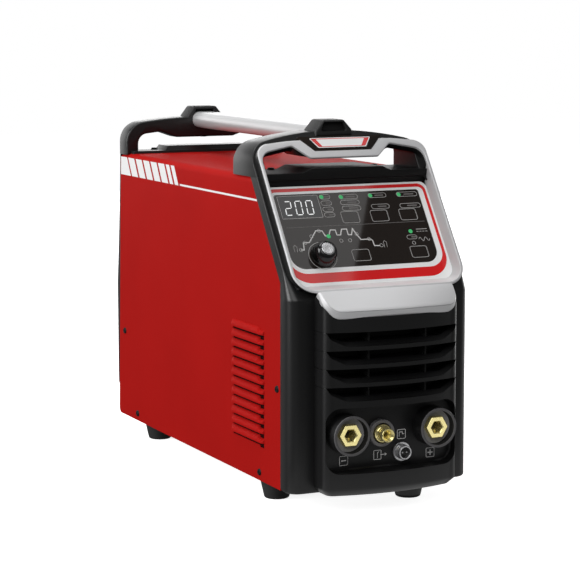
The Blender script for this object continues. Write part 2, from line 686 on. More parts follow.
def build_cap(name, y_front, y_back, zb, lean, lo=21.0, up=14.0, h=11.2, slot_depth=7.0):
    """Black block on the top of a hoop, with a sunk field in its face."""
    base = round_poly([(-lo, zb - 6), (lo, zb - 6), (lo, zb + 0.5), (up, zb + h), (-up, zb + h), (-lo, zb + 0.5)], [0, 0, 3, 4, 4, 3], 5)
    P = ccw(base)
    rows = [("f", r, d) for r, d in [(2.6 * (1 - math.cos(a)), 2.6 * (1 - math.sin(a))) for a in np.linspace(math.pi / 2, 0, 5)]]
    rows += [("b", r, d) for r, d in [(4 * (1 - math.cos(a)), 4 * (1 - math.sin(a))) for a in np.linspace(0, math.pi / 2, 5)]]
    loops = []
    s = 1 if y_back > y_front else -1
    for side_, ins, dep in rows:
        Q = offset(P, ins) if ins > 1e-9 else P
        if side_ == "f":
            loops.append([(x, y_front + lean * (z - zb) + s * dep, z) for x, z in Q])
        else:
            loops.append([(x, y_back - s * dep, z) for x, z in Q])
    ob = raw(name, *stitch(loops))
    field = round_poly([(-15.0, zb - 0.6), (15.0, zb - 0.6), (11.4, zb + 8.6), (-11.4, zb + 8.6)], 1.6, 4)
    F = ccw(field)
    loops = []
    for ins, dep in ((-0.8, -4.0), (-0.8, -0.1), (0.0, 1.2), (0.0, slot_depth)):
        Q = offset(F, ins) if abs(ins) > 1e-9 else F
        loops.append([(x, y_front + lean * (z - zb) + s * dep, z) for x, z in Q])
    boolean(ob, [raw("c", *stitch(loops))])
    own(ob, M["black_soft"], angle=32)
    # the sunk field is darker than the block
    ob.data.materials.append(M["deep"])
    for q in ob.data.polygons:
        x, y, z = [c * 1000 for c in q.center]
        dep = s * (y - y_front - lean * (z - zb))
        if abs(x) < 15.2 and zb - 0.8 < z < zb + 8.8 and 1.1 < dep < slot_depth + 0.2:
            q.material_index = 1


build_bezel()
build_cap("front_cap", -138.0, -108.0, 386.0, 0.10, 22.0, 12.6)
build_cap("rear_cap", 208.5, 232.5, 385.0, 0.12, 24.0, 15.0, 12.0)


# ---------------------------------------------------------------- fascia frame
def ring_line(h, t0, rb, tc, rt, side, top, seg=10):
    """Closed line of the fascia: bottom corners, upper corners at tc, and the points of its top."""
    mir = lambda A: np.array([(-u, t) for u, t in reversed(A)])
    bl = fillet((-h, t0 + 70), (-h, t0), (0, t0), rb, seg)
    tr = fillet((h, tc - 70), (h, tc), side, rt, seg)
    br, tl = mir(bl), mir(tr)
    span = lambda a, b, n: np.stack([np.linspace(a[0], b[0], n + 2)[1:-1], np.linspace(a[1], b[1], n + 2)[1:-1]], 1)
    return np.concatenate([bl, span(bl[-1], br[0], 22), br, span(br[-1], tr[0], 16), tr, top, tl, span(tl[-1], bl[0], 16)])


def offset_open(P, d):
    """Moves an open line to its left by d."""
    Q = np.concatenate([[2 * P[0] - P[1]], P, [2 * P[-1] - P[-2]]])
    return offset(Q, d)[1:-1]


def smooth_line(pts, n):
    """n points along a smooth curve through pts, evenly spaced."""
    P = np.asarray(pts, float)
    E = np.concatenate([[2 * P[0] - P[1]], P, [2 * P[-1] - P[-2]]])
    C = []
    for i in range(1, len(E) - 2):
        a, b, c, d = E[i - 1:i + 3]
        for q in np.linspace(0, 1, 12, endpoint=False):
            C.append(0.5 * (2 * b + (c - a) * q + (2 * a - 5 * b + 4 * c - d) * q * q + (3 * b - a - 3 * c + d) * q ** 3))
    C = np.array(C + [P[-1]])
    k = np.concatenate([[0], np.cumsum(np.linalg.norm(np.diff(C, axis=0), axis=1))])
    t = np.linspace(0, k[-1], n)
    return np.stack([np.interp(t, k, C[:, j]) for j in range(P.shape[1])], 1)


def build_fascia():
    # rim: a ring with a rounded crest and a wide bridge in the middle of the top
    uo = np.array([62, 59.5, 57, 54.5, 52, 45, 42.5, 40, 38, 36], float)
    uo = np.concatenate([uo, -uo[::-1]])
    top_o = np.stack([uo, 189.6 - 1.4 * (uo / 75) ** 2], 1)
    top_i = round_poly([(95.8, 174.5), (57.7, 182.6), (40, 167.0), (-40, 167.0), (-57.7, 182.6), (-95.8, 174.5)], [0, 5, 5, 5, 5, 0], 4)[1:-1]
    foot = ring_line(99.5, 14.6, 25, 183.4, 21, (75, 188.2), top_o)
    out0 = ring_line(99.5, 9.6, 25, 183.4, 21, (75, 188.2), top_o)
    in0 = ring_line(95.8, 13.0, 21, 174.5, 14, (57.7, 182.6), top_i)
    inb = ring_line(95.5, 25.6, 13, 174.5, 14, (57.7, 182.6), top_i)
    def depth(t, deep, shallow=-2.6):
        k = np.clip((t - 142) / 10.0, 0, 1)
        return deep + (shallow - deep) * k
    L = [[fas(u, t, -10.2) for u, t in foot]]
    ro, ri = 1.3, 1.0
    for a in np.linspace(0, math.pi / 2, 6):
        L.append([fas(u, t, -ro + ro * math.sin(a)) for u, t in offset(out0, ro * (1 - math.cos(a)))])
    for a in np.linspace(math.pi / 2, 0, 6):
        L.append([fas(u, t, -ri + ri * math.sin(a)) for u, t in offset(in0, -ri * (1 - math.cos(a)))])
    L.append([fas(u, t, depth(t, -16.9)) for u, t in inb])
    rim = own(raw("fascia_rim", *stitch(L, close=True)), M["silver"], rep=["fascia_frame"], angle=40)
    # its outer wall is masked off in black
    rim.data.materials.append(M["black"])
    for q in rim.data.polygons:
        x, y, z = [c * 1000 for c in q.center]
        t, d = S35 * (y + 260) + C35 * (z - 223), -C35 * (y + 260) + S35 * (z - 223)
        n = q.normal
        if -9.5 < d < -2.2 and n.x * x + (S35 * n.y + C35 * n.z) * (t - 95) > 0:
            q.material_index = 1

    # black inner face of the hoop behind the thin upper part of the ring
    A = np.array([p for p in np.roll(in0, -(11 + 22 + 11), 0) if p[1] > 149])
    liner = []
    for part in (A[A[:, 0] > 53], A[A[:, 0] < -53]):
        L = [[fas(u, t, d) for u, t in np.concatenate([offset_open(part, w), offset_open(part, -1.6)[::-1]])] for w, d in ((0.12, -10.4), (0.12, -3.2), (-0.2, -2.7))]
        liner.append(raw("l", *stitch(L)))
    own(join("hoop_liner", liner), M["black"], angle=40)

    # lip over the grille: bowed in plan, with a bevel round its two ends and its lower edge
    nc, ns = 33, 18
    front = smooth_line([(-75.8, 11.4, 0.1), (-75.6, 7.6, 0.3), (-74.8, 2.0, 0.5), (-73.0, -4.0, 0.6), (-69.6, -9.2, 0.5), (-64.6, -12.3, 0.4), (-58.0, -13.0, 0.3)], ns)
    edge = smooth_line([(-77.6, 11.4, -2.4), (-77.6, 7.6, -2.6), (-77.2, 1.2, -3.0), (-75.8, -5.4, -4.0), (-71.6, -12.4, -5.6), (-64.8, -16.4, -6.8), (-57.0, -17.2, -7.0)], ns)
    def pt(u, t, d):
        b = min(1.0, max(0.0, (11.4 - t) / 22.4)) ** 0.8
        x, y, z = fas(u, t, d)
        return (x, y - 9.0 * b * (1 - (u / 80.0) ** 2) - (5.6 + 3.2 * b), z + 1.4 * b)
    def around(A):
        """Line down the left end, along the bottom and up the right end."""
        mid = [(u, A[-1][1], A[-1][2]) for u in np.linspace(A[-1][0], -A[-1][0], nc)[1:-1]]
        return [tuple(p) for p in A] + mid + [(-u, t, d) for u, t, d in A[::-1]]
    V, F = [], []
    def add(p):
        V.append(p)
        return len(V) - 1
    # face: rows across between the two ends
    rows = [[add(pt(u * k, t, d)) for k in np.linspace(-1, 1, nc)] for u, t, d in front]
    for i in range(ns - 1):
        for j in range(nc - 1):
            F.append((rows[i][j], rows[i][j + 1], rows[i + 1][j + 1], rows[i + 1][j]))
    rim = [r[0] for r in rows] + rows[-1][1:-1] + [r[-1] for r in rows[::-1]]
    # soft crease, bevel, rounded outer edge, and the wall behind it
    fa, ea = np.array(around(front)), np.array(around(edge))
    strips = [rim]
    for w, dd in ((0.06, 0.10), (0.16, 0.06), (0.90, 0.0), (0.98, -0.4), (1.0, -1.4)):
        P = fa + (ea - fa) * w
        strips.append([add(pt(u, t, d + dd)) for u, t, d in P])
    back = fa + (ea - fa) * 0.45
    back[:, 2] = -9.6
    strips.append([add(pt(u, t, d)) for u, t, d in back])
    m = len(rim)
    for a, b in zip(strips, strips[1:]):
        for j in range(m - 1):
            F.append((a[j], a[j + 1], b[j + 1], b[j]))
    # back face and top wall
    brow_ = [[add(pt(u * k, t, -9.6)) for k in np.linspace(-1, 1, nc)] for u, t, d in front]
    for i in range(ns - 1):
        for j in range(nc - 1):
            F.append((brow_[i][j + 1], brow_[i][j], brow_[i + 1][j], brow_[i + 1][j + 1]))
    brim = [r[0] for r in brow_] + brow_[-1][1:-1] + [r[-1] for r in brow_[::-1]]
    a, b = strips[-1], brim
    for j in range(m - 1):
        F.append((a[j], a[j + 1], b[j + 1], b[j]))
    # closed top: the fan of both end sections and the strip between the two faces
    for j in range(nc - 1):
        F.append((rows[0][j + 1], rows[0][j], brow_[0][j], brow_[0][j + 1]))
    F.append(tuple([st[0] for st in strips] + [brim[0]]))
    F.append(tuple([st[-1] for st in strips[::-1]] + [brim[-1]])[::1])
    own(raw("fascia_lip", V, F), M["silver"], angle=30)

    # black field and blank badge in the bridge
    P = round_poly([(-50.4, 192.6), (-33.3, 174.9), (33.3, 174.9), (50.4, 192.6)], [0.8, 2.5, 2.5, 0.8], 4)
    own(prism("badge_field", P, fas, -10.2, 0.3, 0, 0.25, 2), M["film"], rep=["badge_plate"])
    Q = round_poly([(-36.4, 190.6), (-28.2, 178.6), (28.2, 178.6), (36.4, 190.6)], 0.8, 3)
    a = flat("b", Q, fas, 0.36)
    a.data.materials.append(M["film_white"])
    bars = [a]
    for s in (-1, 1):
        o = flat("b", [(s * 34.6, 189.6), (s * 29.0, 189.6), (s * 22.8, 179.8), (s * 27.6, 179.8)], fas, 0.42)
        o.data.materials.append(M["film_red"])
        bars.append(o)
    for pts in ([(-33.8, 189.4), (33.8, 189.4)], [(-27.2, 179.9), (27.2, 179.9)]):
        o = line("b", pts, 0.8, fas, 0.42)
        o.data.materials.append(M["film_red"])
        bars.append(o)
    j = join("badge_blank", bars)
    finish_mesh(j.data)
    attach(j, "case")


build_fascia()


# ---------------------------------------------------------------- grille panel
def panel_front(x):
    return -283.4 + (240 - math.sqrt(240 * 240 - x * x))


def panel_plan(ins, back=-248.1, half=77.0, r=8.0):
    """Plan outline (x, y), bowed at the front, with rounded vertical edges."""
    h = half - ins
    pts = []
    xs = np.linspace(-(h - r), h - r, 33)
    yc = panel_front(h - r) + ins
    front = [(x, panel_front(x) + ins) for x in xs]
    # corner arc from the front to the side
    corner = [(h - r + r * math.sin(a), yc + r - r * math.cos(a)) for a in np.linspace(0.12, math.pi / 2, 8)]
    right = corner + [(h, back)]
    left = [(-x, y) for x, y in reversed(right)]
    return left + front + right


def slot_cut(z):
    """Cutter of one air slot: straight top, ends swept up, lower edge bevelled."""
    def outl(g):
        P = round_poly([(-75.0, z + 10.5), (-70.5 - g * 0.2, z + 6.0 - g * 0.6), (-55.0, z - g), (55.0, z - g), (70.5 + g * 0.2, z + 6.0 - g * 0.6), (75.0, z + 10.5)], [0.2, 8, 16, 16, 8, 0.2], 6)
        return ccw(P)
    loops = []
    for y, g in ((-300, 4.0), (-282.4, 4.0), (-277.4, 0.0), (-244.0, 0.0)):
        loops.append([(x, y + (panel_front(min(abs(x), 79)) + 283.4 if y > -290 and y < -250 else 0), zz) for x, zz in outl(g)])
    return raw("c", *stitch(loops))


def build_grille():
    levels = [(23.0, 7.0), (23.4, 6.2), (29.2, 0.7), (30.4, 0.1), (32.0, 0.0), (60, 0), (114, 0), (120, 0), (208, 0), (216, 0.0), (223, 0.0), (225.4, 0.5), (227.0, 1.6), (227.8, 3.0)]
    loops = [[(x, y, z) for x, y in panel_plan(ins)] for z, ins in levels]
    ob = raw("grille_face", *stitch(loops))
    # the lip of the fascia covers the middle of the upper edge
    lip = [(-79.2, 236), (-79.0, 227.6), (-78.4, 222.4), (-76.4, 216.8), (-72.0, 210.8), (-64, 207.2), (64, 207.2), (72.0, 210.8), (76.4, 216.8), (78.4, 222.4), (79.0, 227.6), (79.2, 236)]
    boolean(ob, [raw("c", *stitch([[(x, y, z) for x, z in lip] for y in (-300, -258.5)]))])
    cut = [slot_cut(125.4 + k * 18.67) for k in range(4)]
    # grooves that run from the slot tops round the vertical edges
    for k in range(4):
        z = 125.4 + k * 18.67 + 10.1
        o = [(x, y) for x, y in panel_plan(-2.0)]
        i = [(x, y) for x, y in panel_plan(0.9)]
        for s in (-1, 1):
            L = [p for p in o if p[0] * s > 66]
            R = [p for p in i if p[0] * s > 66]
            if s < 0:
                L, R = L[::-1], R[::-1]
            P = ccw(L + R[::-1])
            cut.append(raw("c", *stitch([[(x, y, z - 0.35) for x, y in P], [(x, y, z + 0.35) for x, y in P]])))
    # recess of the sockets
    R0 = rrect(0, 80.6, 150.6, 68, 15, 8)
    loops = []
    for y, g in ((-300, 0.0), (FLOOR_Y - 8, 0.0), (FLOOR_Y - 1.5, 0.8), (FLOOR_Y, 2.2)):
        loops.append([(x, y, z) for x, z in offset(ccw(R0), g)] if g else [(x, y, z) for x, z in ccw(R0)])
    cut.append(raw("c", *stitch(loops)))
    cut.append(prism("c", circle(11.15, 48, -8.4, 83.2), xz, -264.0, -250.0))
    for c in cut:
        boolean(ob, [c])
    own(ob, M["black"], rep=["grille_panel"], angle=26)
    # upright ribs and the dark box behind the slots
    ribs = []
    for x in (-27.3, 38.3):
        ribs.append(prism("r", rrect(x, 159.5, 1.8, 76, 0.5, 2), xz, -271.9, -249.0))
    ribs.append(box("r", (-74, -249.2, 119), (74, -248.2, 201)))
    own(join("grille_ribs", ribs), M["deep"], angle=40)


build_grille()

# ---------------------------------------------------------------- control film
OV = -16.4


def build_film():
    holes = [(-5.4, 103.4), (29.2, 103.4), (63.4, 103.4), (-5.6, 58.0), (63.0, 58.2)]
    base = prism("film_base", rrect(0, 82.55, 191.2, 120.3, 7.6), fas, -17.0, OV)
    cut = [prism("c", rrect(u, t, 19.5, 12.8, 2), fas, -20, -10) for u, t in holes]
    cut.append(prism("c", rrect(-60, 118, 46.4, 26.6, 0.4), fas, -20, -10))
    cut.append(prism("c", circle(4.5, 40, -50, 59.7), fas, -20, -10))
    boolean(base, cut)
    own(base, M["film_white"], rep=["panel_overlay"], angle=30)
    # black field, cut for the same holes
    blk = round_poly([(-86.8, 45.3), (83.9, 45.3), (83.9, 133.4), (-86.8, 133.4)], [15, 15, 3, 3], 8)
    field = prism("film_field", blk, fas, OV - 0.2, OV + 0.04)
    cut = [prism("c", rrect(u, t, 19.5, 12.8, 2), fas, -20, -10) for u, t in holes]
    cut.append(prism("c", rrect(-60, 118, 46.4, 26.6, 0.4), fas, -20, -10))
    cut.append(prism("c", circle(4.5, 40, -50, 59.7), fas, -20, -10))
    boolean(field, cut)
    own(field, M["film"], angle=30)
    # red frame with the wide lower band
    A = round_poly([(-93.6, 28.8), (93.3, 28.8), (93.3, 140.4), (-93.6, 140.4)], [25, 25, 9, 9], 10)
    B = round_poly([(-90.2, 39.9), (89.9, 39.9), (89.9, 136.4), (-90.2, 136.4)], [19, 19, 6, 6], 10)
    own(ring("film_frame", A, B, fas, OV - 0.1, OV + 0.04), M["film_red"], angle=30)
    # display surround, digits and all printed marks
    pr, dm, gr, dg = [], [], [], []
    D = OV + 0.08
    pr.append(line("p", rrect(-60, 118, 46.4, 26.6, 0.6, 2), 0.55, fas, D, True))
    for u, t in holes:
        pr.append(line("p", rrect(u, t, 20.0, 13.3, 2.2, 4), 0.55, fas, D, True))
    dm.append(line("p", [(-82.4, 94.2), (80.4, 94.2)], 0.45, fas, D))

    def pill(u0, u1, t, h=5.0, led=None, bar=True):
        pr.append(line("p", rrect((u0 + u1) / 2, t, u1 - u0, h, h / 2 - 0.01, 6), 0.5, fas, D, True))
        if led is not None:
            gr.append(flat("p", circle(2.3, 20, u0 + 2.6, t), fas, D + 0.02))
        if bar:
            m = (u0 + u1) / 2 + 2.2
            w = (u1 - u0) * 0.24
            dm.append(line("p", [(m - w, t), (m + w, t)], 1.3, fas, D))

    for i, t in enumerate((128.8, 121.3, 113.8, 107.2)):
        pill(-34.6, -22.4, t, 5.2, 0 if i == 0 else None)
    for i, t in enumerate((127.8, 121.0, 113.9)):
        pill(-12.0, 10.0, t, 5.2, 0 if i == 0 else None)
    for i, t in enumerate((128.0, 114.5)):
        pill(22.7, 44.0, t, 5.2, 0 if i == 0 else None)
    for i, t in enumerate((127.9, 114.0)):
        pill(56.8, 81.2, t, 5.2, 0 if i == 0 else None)
    wave = [(-72.9, 67.8), (-69.0, 67.6), (-67.7, 75.8), (-60.8, 76.0), (-49.9, 89.1), (-42.8, 88.8), (-40.6, 82.5), (-36.7, 82.3), (-33.0, 89.3), (-27.3, 89.0), (-27.0, 83.0), (-22.9, 82.8), (-19.9, 89.5), (-14.0, 89.5), (-14.0, 82.6), (-10.2, 82.4), (-7.2, 89.7), (-4.5, 83.0), (-0.9, 76.2), (9.7, 76.2), (12.1, 74.6), (12.6, 68.1), (19.2, 67.8)]
    own(line("film_curve", wave, 1.1, fas, D), M["mark"], angle=30)
    for u, t in ((-24.0, 76.1), (-13.8, 76.0), (-46.4, 88.9), (-56.5, 82.8), (-65.6, 75.8), (-4.2, 83.0), (8.5, 76.3), (20.8, 68.1), (-72.6, 67.8), (59.8, 68.9)):
        pr.append(line("p", circle(1.9, 18, u, t), 0.5, fas, D + 0.02, True))
    gr.append(flat("p", circle(2.4, 20, -37.0, 82.0), fas, D + 0.04))
    gr.append(flat("p", circle(2.4, 20, 59.9, 82.8), fas, D + 0.02))
    pill(53.6, 65.4, 76.0, 4.8)
    # torch marks at both ends of the curve
    for u, s in ((-78.5, 1), (25.6, -1)):
        pr.append(line("p", [(u - 1.6, 65.5), (u - 1.6, 72.0), (u + 0.2, 73.4), (u + 2.0, 71.5), (u + 1.4, 65.5)], 0.45, fas, D + 0.02))
    # alternating and direct current marks
    sine = [(67 + 13.0 * q / 24, 73.0 + 2.2 * math.sin(q / 24 * 4 * math.pi)) for q in range(25)]
    pr.append(line("p", sine, 0.6, fas, D))
    pr.append(line("p", [(67, 85.0), (80, 85.0)], 0.7, fas, D))
    for q in range(4):
        pr.append(line("p", [(67 + 3.5 * q, 82.2), (69.4 + 3.5 * q, 82.2)], 0.7, fas, D))
    # digits
    def digit(uc, segs):
        w, h, k = 6.9, 16.2, 1.0
        t0 = 108.9
        sh = 0.06
        def P(x, y):
            return (uc + x + sh * (y - h / 2), t0 + y)
        for s_ in segs:
            g = 0.5
            x0, x1 = -w / 2, w / 2
            if s_ in "adg":
                y = {"a": h, "d": 0.0, "g": h / 2}[s_]
                pts = [(x0 + g, y), (x0 + g + k / 2, y + k / 2), (x1 - g - k / 2, y + k / 2), (x1 - g, y), (x1 - g - k / 2, y - k / 2), (x0 + g + k / 2, y - k / 2)]
            else:
                x = x1 if s_ in "bc" else x0
                y0, y1 = (h / 2, h) if s_ in "bf" else (0, h / 2)
                pts = [(x, y0 + g), (x + k / 2, y0 + g + k / 2), (x + k / 2, y1 - g - k / 2), (x, y1 - g), (x - k / 2, y1 - g - k / 2), (x - k / 2, y0 + g + k / 2)]
            dg.append(flat("p", ccw([P(*p) for p in pts]), fas, OV + 0.03))
    digit(-73.4, "abged")
    digit(-61.4, "abcdef")
    digit(-48.9, "abcdef")
    own(join("film_marks", pr), M["print"], angle=30)
    own(join("film_marks_dim", dm), M["print_dim"], angle=30)
    own(join("film_lamps", gr), M["led_green"], angle=30)
    own(join("display_digits", dg), M["digits"], angle=30)
    own(prism("display_pane", rrect(-60, 118, 46.3, 26.5, 0.4), fas, -18.5, OV - 0.02, 0, 0.1, 2), M["window"], rep=["display_window"], angle=14)
    # dished, soft-edged push buttons, each on its own body
    for (u, t), node, body in zip(holes, ("arc_mode_button", "trigger_button", "pulse_button", "select_button", "current_button"), ("arc_mode_key", "trigger_key", "pulse_key", "select_key", "current_key")):
        cap = prism("cap", rrect(u, t, 18.9, 12.2, 1.9, 5), fas, -19.9, OV + 0.12, 0, 0.2, 2)
        fl = prism("fl", rrect(u, t, 21.4, 14.8, 2, 4), fas, -21.2, -19.88, 0, 0.2, 2)
        st = prism("st", circle(2.5, 28, u, t), fas, -22.4, -21.18, 0.2, 0, 2)
        own(join(node + "_cap", [cap, fl, st]), M["film"], body=body, rep=[node], angle=14)


build_film()


# ---------------------------------------------------------------- knob
def build_knob():
    def place(a, b, d):
        return fas(-50 + a, 59.7 + b, d)
    b = OV + 0.5
    n = 144
    prof = [(5.6, b), (13.2, b), (13.5, b + 0.4), (13.5, b + 1.6), (13.2, b + 2.0), (13.1, b + 2.4), (12.9, b + 5.6), (12.3, b + 8.6), (11.3, b + 11.2), (10.2, b + 13.1), (9.1, b + 14.3), (8.4, b + 14.85), (7.7, b + 15.0), (7.25, b + 14.8), (7.25, b + 13.6)]
    loops = []
    for i, (r, h) in enumerate(prof):
        L = []
        for q in range(n):
            t = q * 2 * math.pi / n
            k = 0.0
            if 5 <= i <= 8:
                k = -0.22 * max(0.0, math.cos(q * math.pi / 2)) * (1.0 if i < 8 else 0.4)
            L.append(place((r + k) * math.cos(t), (r + k) * math.sin(t), h))
        loops.append(L)
    inner = [(3.0, b + 13.6), (3.0, b + 2.4), (5.6, b + 2.4)]
    for r, h in inner:
        loops.append([place(r * math.cos(q * 2 * math.pi / n), r * math.sin(q * 2 * math.pi / n), h) for q in range(n)])
    own(raw("knob_body", *stitch(loops, close=True)), M["knob"], body="knob", rep=["setting_knob"], angle=40)
    c = [(0, b + 13.6), (7.15, b + 13.6), (7.15, b + 15.0), (6.9, b + 15.3), (6.4, b + 15.4), (5.4, b + 15.42), (3.0, b + 15.35), (1.0, b + 15.3), (0.01, b + 15.3)]
    loops = [[place(r * math.cos(t), r * math.sin(t), h) for t in np.arange(64) * 2 * math.pi / 64] for r, h in c if r > 0]
    own(raw("knob_disc", *stitch(loops)), M["alu_cap"], body="knob", rep=["knob_cap"], angle=40)
    # printed scale ring
    own(ring("knob_scale", circle(15.9, 64, -50, 59.7), circle(15.3, 64, -50, 59.7), fas, OV, OV + 0.08), M["print"], angle=30)


build_knob()


# ---------------------------------------------------------------- sockets
def hexagon(af, r=1.0, seg=3):
    R = af / math.sqrt(3)
    return round_poly([(R * math.cos(math.radians(60 * k)), R * math.sin(math.radians(60 * k))) for k in range(6)], r, seg)


def build_socket(p, tag):
    place = at_front(p)
    # collar: outer ring round a sunk floor, its walls in the black of the moulding
    prof = soft_profile([(17.9, 10.5), (17.9, 20.0), (20.7, 20.0), (20.7, 0.0), (15.0, 0.0), (9.3, 0.0), (9.3, 10.5)], [0.2, 0.6, 0.8, 0, 0, 0, 0], 3)
    own(tube(tag + "_collar_ring", prof, place, 96), M["grey"], rep=[tag + "_collar"], angle=35)
    ob = bpy.data.objects[tag + "_collar_ring"]
    ob.data.materials.append(M["black"])
    ob.data.materials.append(M["deep"])
    ob.data.materials.append(M["grey_floor"])
    for q in ob.data.polygons:
        x, y, z = [c * 1000 for c in q.center]
        r, d = math.hypot(x - p[0], z - p[1]), FLOOR_Y - y
        if r > 20.3 and d < 19.1:
            q.material_index = 1
        elif 17.5 < r < 18.1 and d < 19.4:
            q.material_index = 2
        elif r < 17.6 and d > 8:
            q.material_index = 3
    # brass insert with a bored hexagon
    H = hexagon(22.0, 0.9, 4)
    ang = np.arctan2(H[:, 1], H[:, 0])
    circ = lambda r: np.stack([r * np.cos(ang), r * np.sin(ang)], 1)
    loops = [[place(a, b, d) for a, b in P] for P, d in ((circ(9.2), -28.0), (circ(9.2), 3.0), (H, 3.0), (H, 15.5), (offset(H, 0.3), 16.0), (offset(H, 0.7), 16.3), (circ(7.6), 16.3), (circ(7.0), 15.9), (circ(6.5), 15.2), (circ(6.5), -14.0), (circ(2.5), -15.0), (circ(2.5), -28.0))]
    ins = raw(tag + "_insert", *stitch(loops, close=True))
    own(ins, M["brass"], rep=[tag + "_socket"], angle=32)
    # lug that catches the plug, low in the bore
    lug = prism(tag + "_lug", round_poly([(-2.6, -6.4), (2.6, -6.4), (2.0, -3.6), (-2.0, -3.6)], 0.5, 3), place, -6.0, 9.0, 0.4, 0.6, 3)
    own(lug, M["brass"])


def build_front_fittings():
    build_socket((-50.0, 86.2), "minus")
    build_socket((50.0, 86.2), "plus")
    g = at_front((-8.4, 83.2))
    own(tube("gas_seat_ring", soft_profile([(10.7, -3.9), (14.2, -0.0), (14.2, 6.2), (10.7, 6.2)], [0, 0, 0.9, 0.5], 4), g, 80), M["grey_seat"], rep=["gas_outlet_seat"], angle=35)
    prof = [(2.0, -14.8), (6.0, -14.8), (6.0, -8.0), (9.2, -8.0), (9.4, -7.6), (9.4, 6.6), (9.0, 7.2), (8.2, 7.5), (7.9, 8.0), (7.0, 8.6), (6.8, 9.4), (7.1, 10.0), (7.3, 10.6), (7.3, 18.2), (6.9, 18.8), (6.4, 19.0), (5.9, 18.7), (2.2, 13.0), (2.0, 12.0)]
    own(tube("gas_nipple", prof, g, 72), M["brass"], rep=["gas_outlet"], angle=30)
    c = at_front((16.4, 61.2))
    prof = [(5.65, -8.9), (6.2, -8.9), (6.2, 0), (9.8, 0), (10.2, 0.4), (10.2, 1.9), (9.7, 2.5), (7.9, 2.5), (7.4, 3.0), (7.4, 4.0), (7.1, 4.3), (7.1, 4.9), (7.4, 5.2), (7.4, 6.0), (7.1, 6.3), (7.1, 6.9), (7.4, 7.2), (7.4, 9.4), (6.9, 10.0), (6.0, 10.0), (5.65, 9.6)]
    own(tube("torch_plug_ring", prof, c, 72), M["plug_steel"], rep=["torch_plug_shell"], angle=28)


build_front_fittings()


def build_symbols():
    """Plain generic marks beside the sockets: polarity, torch, remote plug."""
    pr = []
    y = FLOOR_Y - 0.02
    def place(a, b, d):
        return (a - 6.05, y - d, b + 2.7)
    def boxed(x, z, w=9.5):
        pr.append(line("p", rrect(x, z, w, w, 1.0, 3), 0.6, place, 0.03, True))
    boxed(-44.0, 54.5)
    pr.append(line("p", [(-46.8, 54.5), (-41.2, 54.5)], 1.2, place, 0.03))
    boxed(57.0, 54.0)
    pr.append(line("p", [(54.0, 54.0), (60.0, 54.0)], 1.2, place, 0.03))
    pr.append(line("p", [(57.0, 51.0), (57.0, 57.0)], 1.2, place, 0.06))
    boxed(22.8, 76.4)
    pr.append(line("p", [(20.3, 74.0), (20.3, 78.6), (24.0, 78.6), (24.0, 76.4), (26.2, 76.4)], 0.6, place, 0.03))
    pr.append(line("p", rrect(-5.0, 57.0, 8.5, 9.5, 0.8, 3), 0.6, place, 0.03, True))
    pr.append(line("p", [(-5.0, 53.6), (-5.0, 59.0), (-3.6, 60.4)], 0.6, place, 0.05))
    pr.append(line("p", [(-1.5, 57.0), (4.0, 57.0)], 0.7, place, 0.05))
    pr.append(flat("p", ccw([(3.4, 58.6), (3.4, 55.4), (6.2, 57.0)]), place, 0.05))
    own(join("socket_marks", pr), M["mark"], angle=30)


build_symbols()


